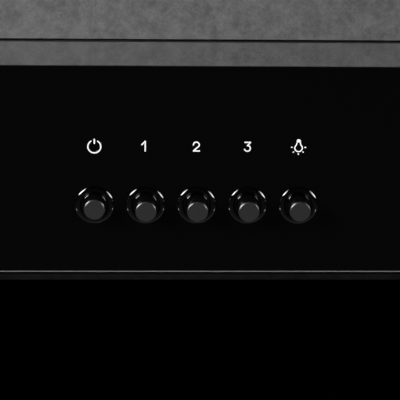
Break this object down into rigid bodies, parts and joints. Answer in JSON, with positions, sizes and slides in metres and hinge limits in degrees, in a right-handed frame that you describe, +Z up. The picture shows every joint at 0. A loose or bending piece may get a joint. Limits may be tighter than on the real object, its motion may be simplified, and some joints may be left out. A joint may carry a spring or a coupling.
{
  "type": "chimney range hood",
  "caption": "T-shaped wall chimney hood: flat canopy with a leaning black glass fascia, push keys, drop-down grease filters, blower and telescopic chimney.",
  "frame": {"origin": "on the wall, midway between the two wall hooks' screw holes", "axes": "+X along the wall to the viewer's right, +Y into the wall, +Z up"},
  "size_m": [0.9, 0.5, 0.7556],
  "materials": {
    "matt_black_steel": "matt black powder coat with a fine grain",
    "black_glass": "black back-painted toughened glass, polished",
    "satin_black_lip": "satin black lacquer on folded steel",
    "gloss_black_ring": "polished black moulded ring",
    "black_key_cap": "black anodised, turned face with a bright chamfer",
    "natural_nylon": "moulded nylon",
    "black_plastic": "moulded flame-retardant plastic",
    "grey_plastic": "moulded glass-filled plastic",
    "zinc_steel": "galvanised sheet",
    "filter_aluminium": "brushed aluminium frame",
    "filter_mesh": "expanded aluminium mesh",
    "lamp_lens": "frosted lens",
    "lamp_bezel": "satin chrome ring",
    "black_rubber": "soft rubber",
    "screw_steel": "zinc plated"
  },
  "bodies": {
    "root": {"canopy_top_panel": "matt_black_steel", "canopy_side_left": "matt_black_steel", "canopy_side_right": "matt_black_steel", "canopy_back_panel": "matt_black_steel", "front_channel": "satin_black_lip", "control_glass": "black_glass", "suction_frame": "matt_black_steel", "button_collars": "gloss_black_ring", "switch_bank": "black_plastic", "switch_bracket": "zinc_steel", "bracket_screws": "screw_steel", "control_cover": "grey_plastic", "lamp_bezels": "lamp_bezel", "lamp_lenses": "lamp_lens", "lamp_bodies": "black_plastic", "blower_box": "zinc_steel", "scroll_half_left": "black_plastic", "scroll_half_right": "black_plastic", "motor_casing": "zinc_steel", "motor_bracket": "zinc_steel", "motor_bushes": "black_rubber", "motor_screws": "screw_steel", "inlet_guard": "screw_steel", "outlet_collar": "grey_plastic", "flap_pins": "screw_steel", "chimney_lower": "matt_black_steel", "wall_hooks": "zinc_steel", "terminal_box": "grey_plastic", "terminal_lid": "grey_plastic", "cable_gland": "black_plastic", "capacitor": "grey_plastic"},
    "key_power": {"button_cap_power": "black_key_cap", "plunger_power": "natural_nylon"},
    "key_speed_1": {"button_cap_speed_1": "black_key_cap", "plunger_speed_1": "natural_nylon"},
    "key_speed_2": {"button_cap_speed_2": "black_key_cap", "plunger_speed_2": "natural_nylon"},
    "key_speed_3": {"button_cap_speed_3": "black_key_cap", "plunger_speed_3": "natural_nylon"},
    "key_light": {"button_cap_light": "black_key_cap", "plunger_light": "natural_nylon"},
    "filter_left": {"filter_frame_left": "filter_aluminium", "filter_mesh_left": "filter_mesh"},
    "latch_left": {"filter_latch_left": "black_plastic"},
    "filter_middle": {"filter_frame_middle": "filter_aluminium", "filter_mesh_middle": "filter_mesh"},
    "latch_middle": {"filter_latch_middle": "black_plastic"},
    "filter_right": {"filter_frame_right": "filter_aluminium", "filter_mesh_right": "filter_mesh"},
    "latch_right": {"filter_latch_right": "black_plastic"},
    "wheel": {"impeller": "zinc_steel", "motor_shaft": "screw_steel"},
    "flap_front": {"backdraft_flap_front": "natural_nylon"},
    "flap_rear": {"backdraft_flap_rear": "natural_nylon"},
    "upper_chimney": {"chimney_upper": "matt_black_steel", "chimney_wall_bracket": "zinc_steel", "chimney_screws": "screw_steel"}
  },
  "joints": [
    {"name": "press_power", "type": "slide", "parent": "root", "child": "key_power", "axis": [0, 0.9833, 0.1822], "range_m": [-0.0025, 0.0015]},
    {"name": "press_speed_1", "type": "slide", "parent": "root", "child": "key_speed_1", "axis": [0, 0.9833, 0.1822], "range_m": [0, 0.004], "stiffness_N_per_m": 150},
    {"name": "press_speed_2", "type": "slide", "parent": "root", "child": "key_speed_2", "axis": [0, 0.9833, 0.1822], "range_m": [0, 0.004], "stiffness_N_per_m": 150},
    {"name": "press_speed_3", "type": "slide", "parent": "root", "child": "key_speed_3", "axis": [0, 0.9833, 0.1822], "range_m": [0, 0.004], "stiffness_N_per_m": 150},
    {"name": "press_light", "type": "slide", "parent": "root", "child": "key_light", "axis": [0, 0.9833, 0.1822], "range_m": [-0.0005, 0.0035]},
    {"name": "drop_filter_left", "type": "hinge", "parent": "root", "child": "filter_left", "pos_m": [-0.293, -0.044, -0.19294], "axis": [1, 0, 0], "range_deg": [0, 75]},
    {"name": "drop_filter_middle", "type": "hinge", "parent": "root", "child": "filter_middle", "pos_m": [0, -0.044, -0.19294], "axis": [1, 0, 0], "range_deg": [0, 75]},
    {"name": "drop_filter_right", "type": "hinge", "parent": "root", "child": "filter_right", "pos_m": [0.293, -0.044, -0.19294], "axis": [1, 0, 0], "range_deg": [0, 75]},
    {"name": "draw_latch_left", "type": "slide", "parent": "filter_left", "child": "latch_left", "axis": [0, 1, 0], "range_m": [0, 0.006], "stiffness_N_per_m": 300},
    {"name": "draw_latch_middle", "type": "slide", "parent": "filter_middle", "child": "latch_middle", "axis": [0, 1, 0], "range_m": [0, 0.006], "stiffness_N_per_m": 300},
    {"name": "draw_latch_right", "type": "slide", "parent": "filter_right", "child": "latch_right", "axis": [0, 1, 0], "range_m": [0, 0.006], "stiffness_N_per_m": 300},
    {"name": "wheel_spin", "type": "hinge", "parent": "root", "child": "wheel", "pos_m": [0, -0.113, 0], "axis": [1, 0, 0], "continuous": true},
    {"name": "open_flap_front", "type": "hinge", "parent": "root", "child": "flap_front", "pos_m": [0, -0.138, 0.14], "axis": [-1, 0, 0], "range_deg": [0, 80]},
    {"name": "open_flap_rear", "type": "hinge", "parent": "root", "child": "flap_rear", "pos_m": [0, -0.128, 0.14], "axis": [1, 0, 0], "range_deg": [0, 80]},
    {"name": "slide_upper_chimney", "type": "slide", "parent": "root", "child": "upper_chimney", "axis": [0, 0, 1], "range_m": [-0.225, 0.11]}
  ]
}
